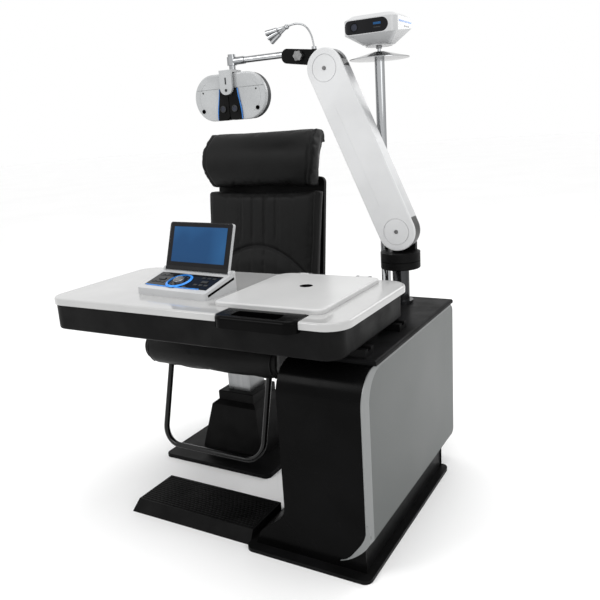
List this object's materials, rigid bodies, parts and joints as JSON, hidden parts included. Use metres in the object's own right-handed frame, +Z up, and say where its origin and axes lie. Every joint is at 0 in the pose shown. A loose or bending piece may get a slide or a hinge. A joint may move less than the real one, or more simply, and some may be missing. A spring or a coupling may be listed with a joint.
{
  "type": "ophthalmic unit",
  "caption": "Ophthalmic refraction unit: sliding table on a curved cabinet, parallel arm with hanging phoropter, chart projector, gooseneck lamp, console and reclining patient chair.",
  "frame": {"origin": "middle of the underside of the cabinet's floor plate, on the floor", "axes": "+Z up, +X to the cabinet's right as the examiner sees it, -Y towards the examiner"},
  "size_m": [1.141, 1.0215, 1.6124],
  "materials": {
    "white_gloss": "gloss",
    "white_paint": "gloss",
    "black_gloss": "gloss",
    "black_plastic": "satin",
    "black_paint": "satin",
    "silver_panel": "metallic satin",
    "silver_cast": "satin",
    "steel": "brushed",
    "chrome": "polished",
    "grey_plastic": "satin",
    "display_glass": "gloss",
    "dark_window": "gloss",
    "black_leather": "satin",
    "inner_steel": "satin"
  },
  "bodies": {
    "base": {"base_plate": "black_paint", "foot_step": "black_plastic", "cabinet_shell": "black_gloss", "side_panel": "silver_panel", "cabinet_cover": "black_plastic", "rear_cover": "black_paint", "power_inlet": "black_plastic", "cabinet_frame": "inner_steel", "power_supply": "inner_steel", "arm_pole": "chrome", "projector_pole": "chrome", "projector_tray": "chrome", "clamp_ring": "black_paint", "rail_carriages": "black_paint", "chair_plate": "black_paint", "column_cover": "black_plastic", "guide_column": "steel"},
    "table": {"table_slab": "white_gloss", "table_apron": "black_plastic", "table_handle": "black_gloss", "lens_tray": "black_plastic", "table_rails": "black_paint", "lid_hinges": "steel", "console_base": "white_gloss", "keypad_plate": "black_gloss"},
    "lid": {"lens_lid": "white_gloss"},
    "screen": {"screen_shell": "white_gloss", "screen_display": "display_glass"},
    "dial": {"dial_knob": "silver_cast"},
    "key_left": {"page_key_left": "grey_plastic"},
    "key_right": {"page_key_right": "grey_plastic"},
    "turret_body": {"turret": "black_paint"},
    "arm": {"arm_face": "white_paint", "arm_body": "silver_cast", "arm_back": "silver_cast", "arm_pins": "steel", "balance_strut": "black_paint"},
    "link": {"levelling_link": "steel"},
    "forearm": {"elbow": "black_paint"},
    "knob": {"lock_knob": "black_plastic"},
    "rod": {"forearm_rod": "chrome"},
    "carrier": {"hanger": "chrome", "phoropter_bracket": "white_gloss"},
    "half_left": {"phoropter_cover_left": "white_gloss", "phoropter_housing_left": "grey_plastic", "phoropter_eyepiece_left": "black_plastic"},
    "half_right": {"phoropter_cover_right": "white_gloss", "phoropter_housing_right": "grey_plastic", "phoropter_eyepiece_right": "black_plastic"},
    "lamp": {"gooseneck_lamp": "chrome"},
    "neck": {"projector_neck": "steel"},
    "projector": {"projector_body": "white_gloss", "projector_window": "dark_window"},
    "lift_column": {"inner_column": "steel"},
    "seat": {"seat_frame": "black_paint", "seat_cushion": "black_leather"},
    "back": {"back_frame": "black_plastic", "back_cushion": "black_leather"},
    "head": {"headrest": "black_leather"},
    "foot_rest": {"foot_ring": "black_paint"}
  },
  "joints": [
    {"name": "table_slide", "type": "slide", "parent": "base", "child": "table", "axis": [1, 0, 0], "range_m": [0, 0.25]},
    {"name": "lid_hinge", "type": "hinge", "parent": "table", "child": "lid", "pos_m": [-0.112, 0.121, 0.7655], "axis": [-1, 0, 0], "range_deg": [0, 60]},
    {"name": "screen_tilt", "type": "hinge", "parent": "table", "child": "screen", "pos_m": [-0.48589, -0.11658, 0.81792], "axis": [0.9962, -0.0872, 0], "range_deg": [-20, 30]},
    {"name": "dial_turn", "type": "hinge", "parent": "table", "child": "dial", "pos_m": [-0.50421, -0.18826, 0.79544], "axis": [-0.0214, -0.2445, 0.9694], "continuous": true},
    {"name": "page_key_left_press", "type": "slide", "parent": "table", "child": "key_left", "axis": [0.0214, 0.2445, -0.9694], "range_m": [0, 0.0012], "stiffness_N_per_m": 900, "springref_m": -0.0004},
    {"name": "page_key_right_press", "type": "slide", "parent": "table", "child": "key_right", "axis": [0.0214, 0.2445, -0.9694], "range_m": [0, 0.0012], "stiffness_N_per_m": 900, "springref_m": -0.0004},
    {"name": "turret_swing", "type": "hinge", "parent": "base", "child": "turret_body", "pos_m": [0.036, 0.378, 0.79], "axis": [0, 0, 1], "range_deg": [0, 90]},
    {"name": "arm_lower", "type": "hinge", "parent": "turret_body", "child": "arm", "pos_m": [0.036, 0.374, 0.881], "axis": [0, -1, 0], "range_deg": [0, 20]},
    {"name": "link_turn", "type": "hinge", "parent": "turret_body", "child": "link", "pos_m": [0.002, 0.374, 0.881], "axis": [0, -1, 0], "range_deg": [0, 20]},
    {"name": "elbow_level", "type": "hinge", "parent": "arm", "child": "forearm", "pos_m": [-0.212, 0.374, 1.446], "axis": [0, -1, 0], "range_deg": [-20, 0]},
    {"name": "lock_knob_turn", "type": "hinge", "parent": "forearm", "child": "knob", "pos_m": [-0.314, 0.35, 1.497], "axis": [0, -1, 0], "range_deg": [0, 180]},
    {"name": "rod_slide", "type": "slide", "parent": "forearm", "child": "rod", "axis": [1, 0, 0], "range_m": [-0.02, 0.03]},
    {"name": "phoropter_swing", "type": "hinge", "parent": "rod", "child": "carrier", "pos_m": [-0.613, 0.374, 1.509], "axis": [0, 0, 1], "range_deg": [-60, 60]},
    {"name": "left_half_slide", "type": "slide", "parent": "carrier", "child": "half_left", "axis": [-1, 0, 0], "range_m": [0, 0.008]},
    {"name": "right_half_slide", "type": "slide", "parent": "carrier", "child": "half_right", "axis": [1, 0, 0], "range_m": [0, 0.008]},
    {"name": "lamp_swivel", "type": "hinge", "parent": "forearm", "child": "lamp", "pos_m": [-0.262, 0.374, 1.514], "axis": [0, 0, 1], "range_deg": [-60, 60]},
    {"name": "projector_pan", "type": "hinge", "parent": "base", "child": "neck", "pos_m": [-0.045, 0.438, 1.497], "axis": [0, 0, 1], "range_deg": [-60, 60]},
    {"name": "projector_tilt", "type": "hinge", "parent": "neck", "child": "projector", "pos_m": [-0.045, 0.438, 1.52], "axis": [1, 0, 0], "range_deg": [-4, 4]},
    {"name": "chair_lift", "type": "slide", "parent": "base", "child": "lift_column", "axis": [0, 0, 1], "range_m": [-0.04, 0.1]},
    {"name": "chair_swivel", "type": "hinge", "parent": "lift_column", "child": "seat", "pos_m": [-0.613, 0.288, 0.4], "axis": [0, 0, 1], "range_deg": [-45, 45]},
    {"name": "back_recline", "type": "hinge", "parent": "seat", "child": "back", "pos_m": [-0.613, 0.492, 0.44], "axis": [-1, 0, 0], "range_deg": [0, 25]},
    {"name": "headrest_slide", "type": "slide", "parent": "back", "child": "head", "axis": [0, 0.1392, 0.9903], "range_m": [0, 0.05]},
    {"name": "foot_rest_fold", "type": "hinge", "parent": "seat", "child": "foot_rest", "pos_m": [-0.613, 0.112, 0.384], "axis": [-1, 0, 0], "range_deg": [0, 45]}
  ],
  "couplings": [
    {"joint": "link_turn", "follows": "arm_lower", "ratio": 1},
    {"joint": "elbow_level", "follows": "arm_lower", "ratio": -1},
    {"joint": "right_half_slide", "follows": "left_half_slide", "ratio": 1}
  ]
}
